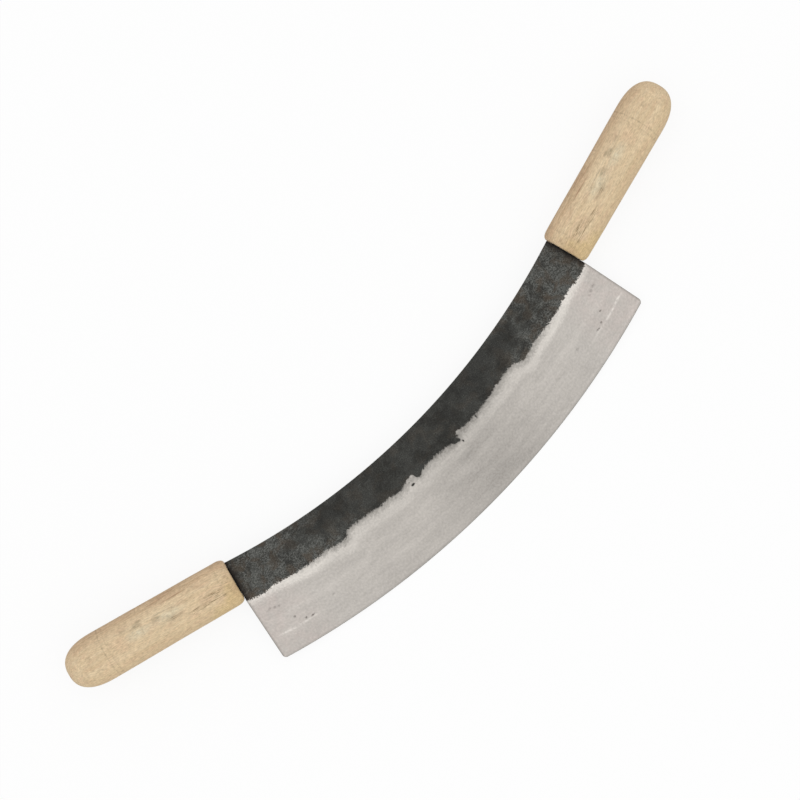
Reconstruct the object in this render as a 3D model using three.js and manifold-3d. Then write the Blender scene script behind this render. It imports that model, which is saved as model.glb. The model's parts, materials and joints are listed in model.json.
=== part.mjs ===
// Two-handled kebab cleaver. A bowed, forged blade has a stick tang at each end, and each tang is
// bedded in resin inside an oval wooden handle. Nothing on it moves.
//
// Millimetres, +Z up. The knife lies on its side as it does on a table, leaning on both handles and on
// the middle of its edge. +X runs along the knife, and +Y runs from the edge towards the spine.

import * as THREE from "three";
import { mergeVertices } from "three/addons/utils/BufferGeometryUtils.js";
import Module from "manifold-3d";

// Blade plate
const SPINE_RADIUS = 462; // hollow bow of the spine
const SPINE_CHORD = 284.6; // straight across, from one spine corner to the other
const SPINE_THICKNESS = 3.6;
const BLADE_DEPTH = 69.3; // spine to edge at the middle
const EDGE_RADIUS = 557; // rocking curve of the edge
const END_LEAN = 3.5; // degrees that the free end face leans in from the shoulder under the handle
const HEEL_RADIUS = 2.4; // rounded corner between the free end face and the edge
const PLATE_EASE = 0.4; // filed corner all round the plate

// Grinds, alike on both faces
const GRIND_RADIUS = 606; // curve of the line where the forged face ends and the grind begins
const GRIND_DROP = 24; // spine to that line at the middle
const HONE_HEIGHT = 14; // honed bevel, up from the edge
const HONE_THICKNESS = 1.6; // blade thickness where the honed bevel begins
const EDGE_LAND = 0.3; // flat left at the very edge

// Handles
const HANDLE_RAKE = 15; // degrees that each handle rises from the line of the knife
const HANDLE_LENGTH = 119;
const HANDLE_WIDTH = 32.5; // widest, where the rounded butt begins
const HANDLE_THICKNESS = 27.5; // widest, across the flat of the blade
const NECK_WIDTH = 31; // at the blade
const NECK_EASE = 2; // rounded rim of the neck
const NECK_PROUD = 3.3; // neck above the spine corner
const BUTT_LENGTH = 25; // rounded end
const BUTT_FULLNESS = 2.5; // 2 is an ellipse, and more is blunter
const SECTION_FULLNESS = 2.3; // the same, for the section of the grip

// Tangs and their bedding
const TANG_ROOT_WIDTH = 16; // at the shoulder
const TANG_TIP_WIDTH = 8;
const TANG_THICKNESS = 3.2;
const TANG_OVERLAP = 8; // run of the tang back into the plate it is drawn out of
const TANG_COVER = 35; // wood left between the bore and the butt
const RESIN_WALL = 1.7; // resin round the root of the tang, and past its tip

// Fits and outlines
const JOINT_GAP = 0.3; // between pieces that bear on each other
const SHOULDER_MARGIN = 0.6; // shoulder of the plate past the edge of the neck
const ARC_STEPS = 48;
const CORNER_STEPS = 6;
const WHEEL_STEPS = 360; // facets of a whole grinding cone
const SECTION_STEPS = 40;
const BUTT_STEPS = 12;
const WELD = 1e-4;
const LEAN_TRIALS = 40;

const wasm = await Module();
wasm.setup();

const rake = THREE.MathUtils.degToRad(HANDLE_RAKE);
const lean = THREE.MathUtils.degToRad(END_LEAN);
const boreDepth = HANDLE_LENGTH - TANG_COVER;
const resinDepth = boreDepth - JOINT_GAP;
const tangLength = resinDepth - RESIN_WALL - JOINT_GAP;

// Solids and geometries

function toSolid(geometry) {
  const bare = geometry.clone();
  bare.deleteAttribute("normal");
  bare.deleteAttribute("uv");
  const welded = mergeVertices(bare, WELD);
  return new wasm.Manifold(
    new wasm.Mesh({
      numProp: 3,
      vertProperties: welded.attributes.position.array,
      triVerts: new Uint32Array(welded.index.array),
    }),
  );
}

function toGeometry(solid) {
  const { vertProperties, triVerts } = solid.getMesh();
  const geometry = new THREE.BufferGeometry();
  geometry.setAttribute("position", new THREE.BufferAttribute(vertProperties, 3));
  geometry.setIndex(new THREE.BufferAttribute(triVerts, 1));
  geometry.computeVertexNormals();
  return geometry;
}

// Plane geometry

function arcPoints(centre, radius, from, to, steps) {
  return Array.from({ length: steps + 1 }, (_, i) => {
    const angle = THREE.MathUtils.lerp(from, to, i / steps);
    return new THREE.Vector2(Math.cos(angle), Math.sin(angle)).multiplyScalar(radius).add(centre);
  });
}

// The point where a ray that starts inside a circle leaves it.
function leavesCircle(start, direction, centre, radius) {
  const offset = start.clone().sub(centre);
  const along = offset.dot(direction);
  const reach = Math.sqrt(along * along - offset.lengthSq() + radius * radius) - along;
  return start.clone().addScaledVector(direction, reach);
}

const bearing = (from, to) => Math.atan2(to.y - from.y, to.x - from.x);

const mirrored = (points) => points.map((p) => new THREE.Vector2(-p.x, p.y)).reverse();

// Blade frame: the middle of the spine is the origin, the edge lies towards -Y, and Z = 0 is the
// middle of the thickness. These are the marks of the right-hand end.

const spineCentre = new THREE.Vector2(0, SPINE_RADIUS);
const edgeCentre = new THREE.Vector2(0, EDGE_RADIUS - BLADE_DEPTH);
const handleAxis = new THREE.Vector2(Math.cos(rake), Math.sin(rake));
const shoulderLine = new THREE.Vector2(Math.sin(rake), -Math.cos(rake));
const spineCorner = leavesCircle(
  new THREE.Vector2(SPINE_CHORD / 2, SPINE_RADIUS),
  new THREE.Vector2(0, -1),
  spineCentre,
  SPINE_RADIUS,
);
const neckCentre = spineCorner
  .clone()
  .addScaledVector(shoulderLine, NECK_WIDTH / 2 - NECK_PROUD)
  .addScaledVector(handleAxis, JOINT_GAP);

// Half of the plate's outline, from the shoulder round the heel to the middle of the edge.
function endOutline() {
  const shoulder = NECK_WIDTH - NECK_PROUD + SHOULDER_MARGIN;
  const shoulderFoot = spineCorner.clone().addScaledVector(shoulderLine, shoulder);
  const down = new THREE.Vector2(Math.sin(rake - lean), -Math.cos(rake - lean));
  const inward = new THREE.Vector2(down.y, -down.x);
  const heelStart = shoulderFoot.clone().addScaledVector(inward, HEEL_RADIUS);
  const heelCentre = leavesCircle(heelStart, down, edgeCentre, EDGE_RADIUS - HEEL_RADIUS);
  const edgeEnd = bearing(edgeCentre, heelCentre);
  const heel = arcPoints(heelCentre, HEEL_RADIUS, rake - lean, edgeEnd, CORNER_STEPS);
  const edge = arcPoints(edgeCentre, EDGE_RADIUS, edgeEnd, -Math.PI / 2, ARC_STEPS / 2);
  return [shoulderFoot, ...heel, ...edge.slice(1)];
}

function plateOutline() {
  const spineEnd = bearing(spineCentre, spineCorner);
  const spine = arcPoints(spineCentre, SPINE_RADIUS, -Math.PI - spineEnd, spineEnd, ARC_STEPS);
  const end = endOutline();
  return new THREE.Shape([...spine, ...end, ...mirrored(end).slice(1)]);
}

// A plate with filed corners, centred on Z = 0.
function plate(shape, thickness, ease) {
  const extruded = new THREE.ExtrudeGeometry(shape, {
    depth: thickness - 2 * ease,
    bevelThickness: ease,
    bevelSize: ease,
    bevelOffset: -ease,
    bevelSegments: 1,
  });
  return extruded.translate(0, 0, ease - thickness / 2);
}

// What a grinding cone leaves on both faces: a ring that is `thickness` thick at `radius` and thins
// outwards by `slope` on each face, about an axis through (0, centreY).
function grindRing(radius, thickness, slope, centreY) {
  const tip = radius + thickness / 2 / slope;
  const inner = radius - 2 * BLADE_DEPTH;
  const height = (tip - inner) * slope;
  const profile = [
    new THREE.Vector2(inner, -height),
    new THREE.Vector2(tip, 0),
    new THREE.Vector2(inner, height),
    new THREE.Vector2(inner, -height),
  ];
  const ring = new THREE.LatheGeometry(profile, WHEEL_STEPS);
  return ring.rotateX(Math.PI / 2).translate(0, centreY, 0);
}

// Handle frame: the middle of the neck is the origin, and +Y runs out to the butt.

function tangShape(grow) {
  const root = TANG_ROOT_WIDTH / 2 + grow;
  const tip = TANG_TIP_WIDTH / 2;
  const tipCentre = new THREE.Vector2(0, tangLength - tip);
  const rounded = arcPoints(tipCentre, tip + grow, 0, Math.PI, 2 * CORNER_STEPS);
  return new THREE.Shape([
    new THREE.Vector2(-root, -TANG_OVERLAP),
    new THREE.Vector2(root, -TANG_OVERLAP),
    new THREE.Vector2(root, 0),
    ...rounded,
    new THREE.Vector2(-root, 0),
  ]);
}

function tangGeometry(grow = 0) {
  return plate(tangShape(grow), TANG_THICKNESS + 2 * grow, PLATE_EASE);
}

// A round-sided plug that fills the bore round the tang, from below the neck face to `depth`.
function plugGeometry(grow, below, depth) {
  const round = TANG_THICKNESS / 2 + JOINT_GAP + RESIN_WALL + grow;
  const flat = TANG_ROOT_WIDTH / 2 + JOINT_GAP + RESIN_WALL + grow - round;
  const right = arcPoints(new THREE.Vector2(flat, 0), round, -Math.PI / 2, Math.PI / 2, 2 * CORNER_STEPS);
  const left = right.map((p) => p.clone().negate());
  const plug = new THREE.ExtrudeGeometry(new THREE.Shape([...right, ...left]), {
    depth: below + depth,
    bevelEnabled: false,
  });
  return plug.rotateX(-Math.PI / 2).translate(0, -below, 0);
}

// Half widths of the grip against the distance from the neck: an eased rim, a straight taper and a
// rounded butt.
function gripProfile() {
  const rimCentre = new THREE.Vector2(NECK_WIDTH / 2 - NECK_EASE, NECK_EASE);
  const rim = arcPoints(rimCentre, NECK_EASE, -Math.PI / 2, 0, CORNER_STEPS);
  const buttStart = HANDLE_LENGTH - BUTT_LENGTH;
  const butt = Array.from({ length: BUTT_STEPS }, (_, i) => {
    const angle = ((Math.PI / 2) * i) / BUTT_STEPS;
    const along = Math.sin(angle) ** (2 / BUTT_FULLNESS);
    const across = Math.cos(angle) ** (2 / BUTT_FULLNESS);
    return new THREE.Vector2((HANDLE_WIDTH / 2) * across, buttStart + BUTT_LENGTH * along);
  });
  return [new THREE.Vector2(0, 0), ...rim, ...butt, new THREE.Vector2(0, HANDLE_LENGTH)];
}

// Turned round from its profile, then worked to a flattened oval.
function gripGeometry() {
  const turned = new THREE.LatheGeometry(gripProfile(), SECTION_STEPS);
  const point = new THREE.Vector3();
  const points = turned.attributes.position;
  for (let i = 0; i < points.count; i++) {
    point.fromBufferAttribute(points, i);
    const angle = Math.atan2(point.z, point.x);
    const wide = Math.abs(Math.cos(angle)) ** SECTION_FULLNESS;
    const thick = Math.abs(Math.sin(angle)) ** SECTION_FULLNESS;
    const fuller = (wide + thick) ** (-1 / SECTION_FULLNESS);
    const flatter = (fuller * HANDLE_THICKNESS) / HANDLE_WIDTH;
    points.setXYZ(i, point.x * fuller, point.y, point.z * flatter);
  }
  return turned;
}

// Pieces

// Carries the handle frame to an end of the blade: side is 1 for the right-hand end, -1 for the left.
function handlePlace(side) {
  const place = new THREE.Matrix4().makeRotationZ(side * (rake - Math.PI / 2));
  return place.setPosition(side * neckCentre.x, neckCentre.y, 0);
}

function bladeGeometry() {
  const honeStart = BLADE_DEPTH - GRIND_DROP - HONE_HEIGHT;
  const grindSlope = (SPINE_THICKNESS - HONE_THICKNESS) / 2 / honeStart;
  const honeSlope = (HONE_THICKNESS - EDGE_LAND) / 2 / HONE_HEIGHT;
  const ground = grindRing(GRIND_RADIUS, SPINE_THICKNESS, grindSlope, GRIND_RADIUS - GRIND_DROP);
  const honed = grindRing(EDGE_RADIUS, EDGE_LAND, honeSlope, edgeCentre.y);
  let blade = toSolid(plate(plateOutline(), SPINE_THICKNESS, PLATE_EASE));
  blade = blade.intersect(toSolid(ground)).intersect(toSolid(honed));
  for (const side of [-1, 1]) {
    blade = blade.add(toSolid(tangGeometry().applyMatrix4(handlePlace(side))));
  }
  return toGeometry(blade);
}

function handleGeometry() {
  const bore = plugGeometry(JOINT_GAP, JOINT_GAP, boreDepth);
  return toGeometry(toSolid(gripGeometry()).subtract(toSolid(bore)));
}

function beddingGeometry() {
  const plug = plugGeometry(0, 0, resinDepth);
  return toGeometry(toSolid(plug).subtract(toSolid(tangGeometry(JOINT_GAP))));
}

// Materials

const forgedSteel = new THREE.MeshStandardMaterial({ color: 0x9c9893, roughness: 0.45, metalness: 0.9 });
const paleWood = new THREE.MeshStandardMaterial({ color: 0xd0ba9a, roughness: 0.75, metalness: 0 });
const darkResin = new THREE.MeshStandardMaterial({ color: 0x2c2119, roughness: 0.5, metalness: 0 });

// Assembly

function namedMesh(name, geometry, material) {
  const mesh = new THREE.Mesh(geometry, material);
  mesh.name = name;
  return mesh;
}

const blade = namedMesh("blade", bladeGeometry(), forgedSteel);
const laid = new THREE.Group().add(blade);
const handles = [];
for (const [end, side] of [
  ["left", -1],
  ["right", 1],
]) {
  const grip = new THREE.Group();
  grip.applyMatrix4(handlePlace(side));
  const handle = namedMesh(`${end}_handle`, handleGeometry(), paleWood);
  grip.add(handle, namedMesh(`${end}_tang_bedding`, beddingGeometry(), darkResin));
  laid.add(grip);
  handles.push(handle);
}

// Lowest point of some meshes, with the knife leaned over by an angle about X.
function lowest(meshes, angle) {
  laid.rotation.x = angle;
  laid.updateMatrixWorld(true);
  return Math.min(...meshes.map((mesh) => new THREE.Box3().setFromObject(mesh, true).min.z));
}

// Leans the knife from its handles until the edge comes down as low as they do.
let level = 0;
let upright = Math.PI / 2;
for (let i = 0; i < LEAN_TRIALS; i++) {
  const angle = (level + upright) / 2;
  if (lowest(handles, angle) < lowest([blade], angle)) level = angle;
  else upright = angle;
}
laid.rotation.x = level;

// Stands it on Z = 0, with the origin under the middle of its box.
const box = new THREE.Box3().setFromObject(laid, true);
const middle = box.getCenter(new THREE.Vector3());
laid.position.set(-middle.x, -middle.y, -box.min.z);

export default new THREE.Group().add(laid);
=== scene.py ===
"""Finished look of a two-handled kebab cleaver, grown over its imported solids."""

import json
import math
from functools import partialmethod

import bpy
from bpy.props import FloatProperty, FloatVectorProperty, PointerProperty
from mathutils import Matrix, Vector


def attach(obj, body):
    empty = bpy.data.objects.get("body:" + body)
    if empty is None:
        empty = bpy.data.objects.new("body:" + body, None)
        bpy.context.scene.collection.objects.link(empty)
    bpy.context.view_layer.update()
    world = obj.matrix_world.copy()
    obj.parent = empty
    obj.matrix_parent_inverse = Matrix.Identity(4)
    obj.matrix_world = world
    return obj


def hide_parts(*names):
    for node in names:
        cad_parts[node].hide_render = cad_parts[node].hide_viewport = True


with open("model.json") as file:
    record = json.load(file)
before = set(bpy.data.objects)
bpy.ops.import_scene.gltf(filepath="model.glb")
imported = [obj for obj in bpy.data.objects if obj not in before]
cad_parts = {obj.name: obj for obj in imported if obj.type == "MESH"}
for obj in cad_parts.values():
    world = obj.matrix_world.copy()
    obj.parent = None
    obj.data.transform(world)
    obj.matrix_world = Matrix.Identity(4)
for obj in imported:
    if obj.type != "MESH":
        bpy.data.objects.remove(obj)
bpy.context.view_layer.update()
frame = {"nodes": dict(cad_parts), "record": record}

bl_info = {
    "name": "Kebab cleaver",
    "version": (1, 0, 0),
    "blender": (4, 5, 0),
    "location": "View3D > Sidebar > Cleaver",
    "description": "Builds the finished look of a two-handled kebab cleaver over its solids",
    "category": "Object",
}

MM = 0.001
QUARTER_TURN = math.pi / 2
WHITE = (1.0, 1.0, 1.0)

# Points of a piece that are closer than this become one, and what keeps a division from zero, in metres.
WELD_DISTANCE = 0.004 * MM
TINY = 1e-9

# Mesh steps of the blade: columns from its middle to one end, rows from spine to edge on one face.
BLADE_COLUMNS = 180
BLADE_ROWS = 104
EASE_STEPS = 4
END_CROWDING = 0.4

# Most of the half thickness that the eased corner may take, and half the breadth of the scale's step.
EASE_LIMIT = 0.8
STEP_HALF = 0.5 * MM

# Hammer marks: fineness of the broad and of the fine ones, and how much the fine ones count.
BROAD_HAMMER = 70.0
FINE_HAMMER = 210.0
FINE_SHARE = 0.4

# What keeps the patterns of the blade's two faces apart: hammer marks in metres, colours in mm.
HAMMER_OFFSET = 0.05
FACE_OFFSET = 40.0

# Tangs: mesh steps, run back into the plate, shares of the rounded tip and its blunt end, and thinning.
TANG_STEPS = (9, 41, 3)
TANG_SINK = 2 * MM
TANG_TIP_SHARE = 0.05
TANG_BLUNT = 0.02
TANG_THINNING = 0.3125

# What the blade's material reads on the tangs: scale, well away from the line, the edge and the ends.
TANG_MARKS = {"grind_depth": -20.0, "edge_height": 60.0, "end_inset": 20.0}

# Mesh steps of a handle: legs of its sweep from the butt's tip to the foot of the bore, and round it.
SWEEP = {"butt": 26, "body": 64, "rim": 8, "face": 8, "bore": 4, "foot": 1}
ROUND_STEPS = 112

# Unevenness of a grip: how it changes round and along the grip, its fineness, and steps to the calm tip.
WAVE_ROUND = 0.01
WAVE_ALONG = 0.35
WAVE_FINENESS = 90.0
CALM_STEPS = 8

# How square the bore's slot is at its ends.
SLOT_SQUARENESS = 3

# How far the hand-ground line strays below its curve: (mm along the blade, mm down).
GRIND_WANDER = (
    (-150, -2.8), (-146, -0.3), (-138, 0.2), (-130, -0.6), (-120, 0.2), (-110, 0.7),
    (-100, 0.5), (-92, 0.2), (-80, 1.5), (-71, -2.4), (-57, -1.7), (-50, -0.8),
    (-40, -0.6), (-32, 0.5), (-27, -1.1), (-22, -0.9), (-16, 0.7), (-11, -0.5),
    (-2, -0.3), (5, 0.3), (13, 1.2), (18, -0.2), (24, -0.6), (34, -0.3),
    (46, -1.1), (58, -2.1), (71, -2.8), (80, 1.2), (92, 0.0), (100, 0.0),
    (110, 0.5), (120, 0.2), (130, -0.6), (138, 0.4), (146, 0.0), (150, -2.6),
)
WANDER_SPAN = 300.0
WANDER_REACH = 10.0

# Where the finish of the blade's ends sets in and is full, in mm from its middle.
END_ZONE = (112, 136)

# Bright line above the honed bevel, up from the edge, and second pass of the wheel, below the scale.
HONE_MARK = 13.8
SECOND_PASS = 19

# Middle and reach of the dulled and of the shaded part of the upper face, in mm.
DULLED = ((0.0, -28.0, FACE_OFFSET), (52.0, 30.0, 60.0))
SHADED = ((20.0, -48.0, FACE_OFFSET), (58.0, 60.0, 60.0))

# Listed marks are soft ovals: two numbers for the middle, two half sizes, and a strength.
# On the blade, in mm: along from the middle of the spine, below it, half length, half width.
# On a grip, in mm: from its axis to the edge side, from the neck, half width, half length.

# Pits and stains, alike at both ends of the blade.
PITS = (
    (142.8, 17.9, 2.4, 1.2, 0.5),
    (139.7, 19.3, 1.8, 1.4, 0.45),
    (137.2, 20.6, 1.6, 1.1, 0.45),
    (135.0, 32.3, 1.4, 1.1, 0.8),
    (130.3, 37.8, 1.3, 1.1, 1.0),
    (126.0, 39.6, 2.4, 0.9, 0.9),
    (107.8, 39.3, 1.9, 1.3, 0.35),
    (88.0, 44.0, 9.0, 1.0, 0.14),
)

# Dull marks on the ground face.
DULLS = (
    (-15.6, 47.0, 3.0, 1.0, 0.3),
    (13.6, 37.8, 7.0, 1.3, 0.25),
    (29.0, 38.6, 6.0, 1.3, 0.15),
    (26.0, 51.0, 15.0, 3.4, 0.14),
    (24.0, 60.0, 22.0, 4.0, 0.14),
)

# Darker and lighter places on the scale. Their strength is how much lighter.
SCALE_TONES = (
    (-108.0, -2.0, 13.0, 7.0, -0.25),
    (-78.0, 2.4, 22.0, 7.0, -0.36),
    (20.0, 9.5, 15.0, 9.0, -0.24),
    (46.0, 5.5, 24.0, 13.0, -0.36),
    (73.0, 0.5, 20.0, 8.5, -0.36),
    (106.0, 1.5, 18.0, 7.0, 0.4),
)

# Nicks in the scale line. Their strength is how far they lift it, in mm.
NICKS = (
    (-25.2, 22.6, 2.4, 2.6, 2.6),
    (-21.8, 22.4, 2.6, 3.0, 3.4),
    (-25.4, 23.8, 0.9, 0.9, -3.0),
    (-24.4, 26.4, 2.2, 1.2, -9.0),
    (-17.6, 24.0, 2.8, 3.6, -4.0),
    (13.6, 26.2, 3.6, 2.4, -3.4),
    (15.6, 27.2, 1.8, 1.8, -4.0),
    (17.2, 29.2, 1.0, 1.6, -9.0),
    (18.8, 22.4, 4.2, 2.2, 2.8),
    (16.6, 22.2, 0.9, 0.7, -5.0),
    (20.6, 22.0, 0.9, 0.6, -4.0),
    (33.4, 24.6, 1.5, 2.4, -3.0),
    (56.0, 19.4, 1.8, 2.0, 1.6),
)

# Height of a grip's broad side above its axis, and the height over which marks on it fade, in mm.
GRIP_TOP = 14.0
GRIP_FADE = 30.0

# Rings scored round each grip: mm from the neck, and how dark. They bow by this, per mm squared.
RING_BOW = 0.006
RINGS = (
    (8.5, 0.1),
    (64.4, 0.1),
    (88.8, 0.14),
    (92.0, 0.16),
)

# Grey smudges of hand dirt on each grip.
SMUDGES = (
    (-3.4, 53.8, 3.6, 5.0, 0.62),
    (-5.6, 51.0, 0.9, 6.0, 0.6),
    (0.8, 45.0, 2.2, 10.0, 0.32),
    (-7.6, 64.8, 1.3, 4.2, 0.7),
    (-5.6, 67.2, 1.6, 4.2, 0.78),
    (-6.6, 66.0, 2.8, 5.0, 0.55),
    (-6.4, 76.4, 2.8, 5.2, 0.5),
)

# Pale worn places on each grip.
PALES = (
    (-1.8, 46.0, 6.0, 17.0, 0.9),
    (-1.4, 67.0, 5.0, 14.0, 1.0),
)

# Reddish streaks on each grip.
STREAKS = (
    (-10.6, 37.0, 1.2, 15.0, 0.8),
    (-12.6, 48.0, 1.0, 12.0, 0.8),
    (-14.2, 41.0, 1.4, 15.0, 0.9),
    (-5.2, 44.0, 0.7, 8.0, 0.7),
)

# Rows of brown flecks on each grip.
FLECKS = (
    (1.2, 14.0, 2.6, 10.0, 1.1),
    (4.2, 10.5, 2.4, 5.5, 1.7),
    (4.6, 19.0, 2.4, 9.0, 1.2),
    (4.8, 28.5, 2.4, 8.0, 1.4),
    (1.6, 43.0, 2.2, 12.0, 0.6),
    (-11.0, 24.6, 1.6, 2.4, 0.8),
    (1.0, 4.0, 9.0, 4.4, 0.5),
)

# Brown dirt at the neck of each grip.
DIRT = (
    (-13.0, 3.0, 6.0, 9.0, 0.6),
    (2.0, 2.0, 16.0, 12.0, 0.5),
)

# Stage, in metres: half the floor's width, and the width and place of the lamp.
FLOOR_HALF = 4.0
LAMP_WIDTH = 2.4
LAMP_PLACE = (0.0, -1.6, 2.2)


def srgb(red, green, blue):
    """A colour as it looks on screen, from 0 to 255, in the linear values that shaders take."""
    return tuple(
        c / 12.92 if c <= 0.04045 else ((c + 0.055) / 1.055) ** 2.4
        for c in (red / 255, green / 255, blue / 255)
    )


# Properties


def plain_property(name, description, default, **kind):
    return FloatProperty(name=name, description=description, default=default, **kind)


def length_property(name, description, millimetres):
    return plain_property(name, description, millimetres * MM, unit="LENGTH", precision=5)


def angle_property(name, description, degrees):
    return plain_property(name, description, math.radians(degrees), subtype="ANGLE")


def colour_property(name, description, *screen):
    return FloatVectorProperty(
        name=name,
        description=description,
        default=srgb(*screen),
        min=0.0,
        max=1.0,
        subtype="COLOR",
    )


class BladeSizes(bpy.types.PropertyGroup):
    spine_radius: length_property("Spine radius", "Hollow bow of the spine", 462)
    spine_chord: length_property("Spine chord", "Straight across between the spine corners", 284.6)
    thickness: length_property("Thickness", "Blade at the spine", 3.6)
    depth: length_property("Depth", "Spine to edge at the middle", 69.3)
    edge_radius: length_property("Edge radius", "Rocking curve of the edge", 557)
    shoulder: length_property("Shoulder", "Part of each end face under the handle", 28.3)
    end_lean: angle_property("End lean", "Lean of the free end face from the shoulder", 3.5)
    heel_radius: length_property("Heel radius", "Rounded corner of end face and edge", 2.4)
    ease: length_property("Eased corner", "Filed corner all round the plate", 0.4)
    grind_radius: length_property("Grind radius", "Curve of the line where the grind begins", 606)
    grind_drop: length_property("Grind drop", "Spine to grind line at the middle", 24)
    hone_height: length_property("Hone height", "Honed bevel, up from the edge", 14)
    hone_thickness: length_property("Hone thickness", "Blade where the honed bevel begins", 1.6)
    edge_land: length_property("Edge land", "Flat left at the very edge", 0.3)
    hammer: length_property("Hammer relief", "Height of the forging's hammer marks", 0.1)
    scale_step: length_property("Scale step", "Height of the scale above the ground face", 0.05)
    tang_root: length_property("Tang root", "Width of a tang at the shoulder", 16)
    tang_tip: length_property("Tang tip", "Width of a tang near its end", 8)
    tang_length: length_property("Tang length", "Neck face to the end of a tang", 81.7)
    tang_thickness: length_property("Tang thickness", "Across the flat of the blade", 3.2)


class HandleSizes(bpy.types.PropertyGroup):
    rake: angle_property("Rake", "Rise of each handle from the line of the knife", 15)
    reach: length_property("Length", "Neck to butt", 119)
    width: length_property("Width", "Widest, where the rounded butt begins", 32.5)
    thickness: length_property("Thickness", "Widest, across the flat of the blade", 27.5)
    neck_width: length_property("Neck width", "At the blade", 31)
    neck_ease: length_property("Neck ease", "Rounded rim of the neck, across the grip", 2.6)
    neck_round: length_property("Neck round", "Rounded rim of the neck, along the grip", 5)
    neck_proud: length_property("Neck proud", "Neck above the spine corner", 3.3)
    butt_length: length_property("Butt length", "Rounded end", 25)
    butt_fullness: plain_property("Butt fullness", "2 is an ellipse, and more is blunter", 2.5)
    section_fullness: plain_property("Section fullness", "2 is an ellipse, and more is squarer", 2.3)
    bore_width: length_property("Bore width", "Along the neck", 20.6)
    bore_height: length_property("Bore height", "Across the flat of the blade", 7.8)
    bore_depth: length_property("Bore depth", "Neck face to the foot of the bore", 84)
    joint_gap: length_property("Joint gap", "Neck face to the blade's shoulder", 0.3)
    waviness: length_property("Waviness", "Hand-worked unevenness of the grip", 0.3)


class Finish(bpy.types.PropertyGroup):
    scale_dark: colour_property("Scale", "Black forge scale", 30, 29, 25)
    scale_grey: colour_property("Scale bloom", "Grey bloom on the scale", 101, 102, 98)
    scale_rust: colour_property("Scale rust", "Brown stains on the scale", 74, 63, 51)
    # Blackening darkens the scale next to the handle necks and the ripples of the resin.
    blackening: colour_property("Soot", "Dirt in the joint at the neck", 24, 18, 15)
    steel_mid: colour_property("Ground steel", "Ground face at the middle", 179, 174, 168)
    # Painted light: the ground face is made lighter towards the ends, standing in for a reflection.
    steel_end_painted_light: colour_property("Ground steel, ends", "Ground face towards the ends", 183, 178, 172)
    steel_warm: colour_property("Warm steel", "Pinkish patches near the ends", 187, 179, 173)
    # Grey steel also colours the painted shade along the end faces and the edge.
    steel_grey: colour_property("Grey steel", "Scale not quite ground away", 118, 115, 110)
    steel_bright: colour_property("Fresh grind", "Bright band under the scale", 212, 207, 200)
    steel_spark: colour_property("Bright flakes", "Bare flakes and hone line at the ends", 230, 225, 218)
    steel_pit: colour_property("Pits", "Scale left in the pits", 96, 91, 86)
    wood_pale: colour_property("Pale wood", "Early wood of the handles", 229, 207, 172)
    wood_dark: colour_property("Dark grain", "Late wood of the handles", 210, 184, 146)
    wood_worn: colour_property("Worn wood", "Pale worn places on the grip", 222, 210, 181)
    wood_blush: colour_property("Blushed wood", "Warmer places in the wood", 222, 188, 155)
    wood_brown: colour_property("Brown stain", "Stain along the spine side", 192, 161, 127)
    wood_red: colour_property("Red streaks", "Reddish streaks along the spine side", 172, 136, 106)
    wood_yellow: colour_property("Yellow wood", "Sapwood at the neck", 221, 194, 143)
    wood_smudge: colour_property("Grey smudge", "Hand dirt along the grip", 146, 134, 108)
    wood_mark: colour_property("Brown marks", "Short dark flecks near the neck", 118, 91, 60)
    resin: colour_property("Resin", "Bedding round the tangs", 50, 36, 26)


class StageSettings(bpy.types.PropertyGroup):
    floor: colour_property("Floor", "Pale floor, as it lights the knife", 203, 203, 203)
    floor_glow: plain_property("Floor glow", "White in the floor as it shows", 0.88, subtype="FACTOR")
    sky: plain_property("Sky", "Strength of the even light", 0.85)
    key: plain_property("Key", "Power of the large lamp", 6.0, unit="POWER")
    view_width: length_property("View width", "Width of the picture at the blade", 500)
    view_distance: length_property("View distance", "Camera to blade", 3200)
    view_along: length_property("View along", "Middle of the picture along the knife", 7.14)
    view_rise: length_property("View rise", "Middle of the picture above the spine", 16.8)


# Node wiring


class Field:
    """A value in a node tree. Arithmetic on it adds the nodes that work it out."""

    def __init__(self, tree, socket):
        self.tree = tree
        self.socket = socket

    def work(self, operation, *values):
        node = self.tree.nodes.new("ShaderNodeMath")
        node.operation = operation
        for socket, value in zip(node.inputs, (self, *values)):
            feed(socket, value)
        return Field(self.tree, node.outputs[0])

    __add__ = __radd__ = partialmethod(work, "ADD")
    __sub__ = partialmethod(work, "SUBTRACT")
    __mul__ = __rmul__ = partialmethod(work, "MULTIPLY")
    __truediv__ = partialmethod(work, "DIVIDE")
    __pow__ = partialmethod(work, "POWER")
    __abs__ = partialmethod(work, "ABSOLUTE")
    sign = partialmethod(work, "SIGN")
    sin = partialmethod(work, "SINE")
    cos = partialmethod(work, "COSINE")
    sqrt = partialmethod(work, "SQRT")
    least = partialmethod(work, "MINIMUM")
    most = partialmethod(work, "MAXIMUM")

    def __neg__(self):
        return self * -1.0

    def __rsub__(self, other):
        return -self + other

    def __rtruediv__(self, other):
        return self**-1.0 * other

    def ramp(self, start, end, low=0.0, high=1.0, smooth=False):
        """Goes from low at start to high at end, and stays there outside them."""
        node = self.tree.nodes.new("ShaderNodeMapRange")
        node.interpolation_type = "SMOOTHSTEP" if smooth else "LINEAR"
        for socket, value in zip(node.inputs, (self, start, end, low, high)):
            feed(socket, value)
        return Field(self.tree, node.outputs[0])

    def split(self):
        node = self.tree.nodes.new("ShaderNodeSeparateXYZ")
        feed(node.inputs[0], self)
        return [Field(self.tree, output) for output in node.outputs]


def feed(socket, value):
    """Links a field to a socket, or sets a plain value on it."""
    if isinstance(value, Field):
        value.tree.links.new(value.socket, socket)
    elif socket.type == "RGBA":
        socket.default_value = (*value, 1.0)
    else:
        socket.default_value = value


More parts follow.
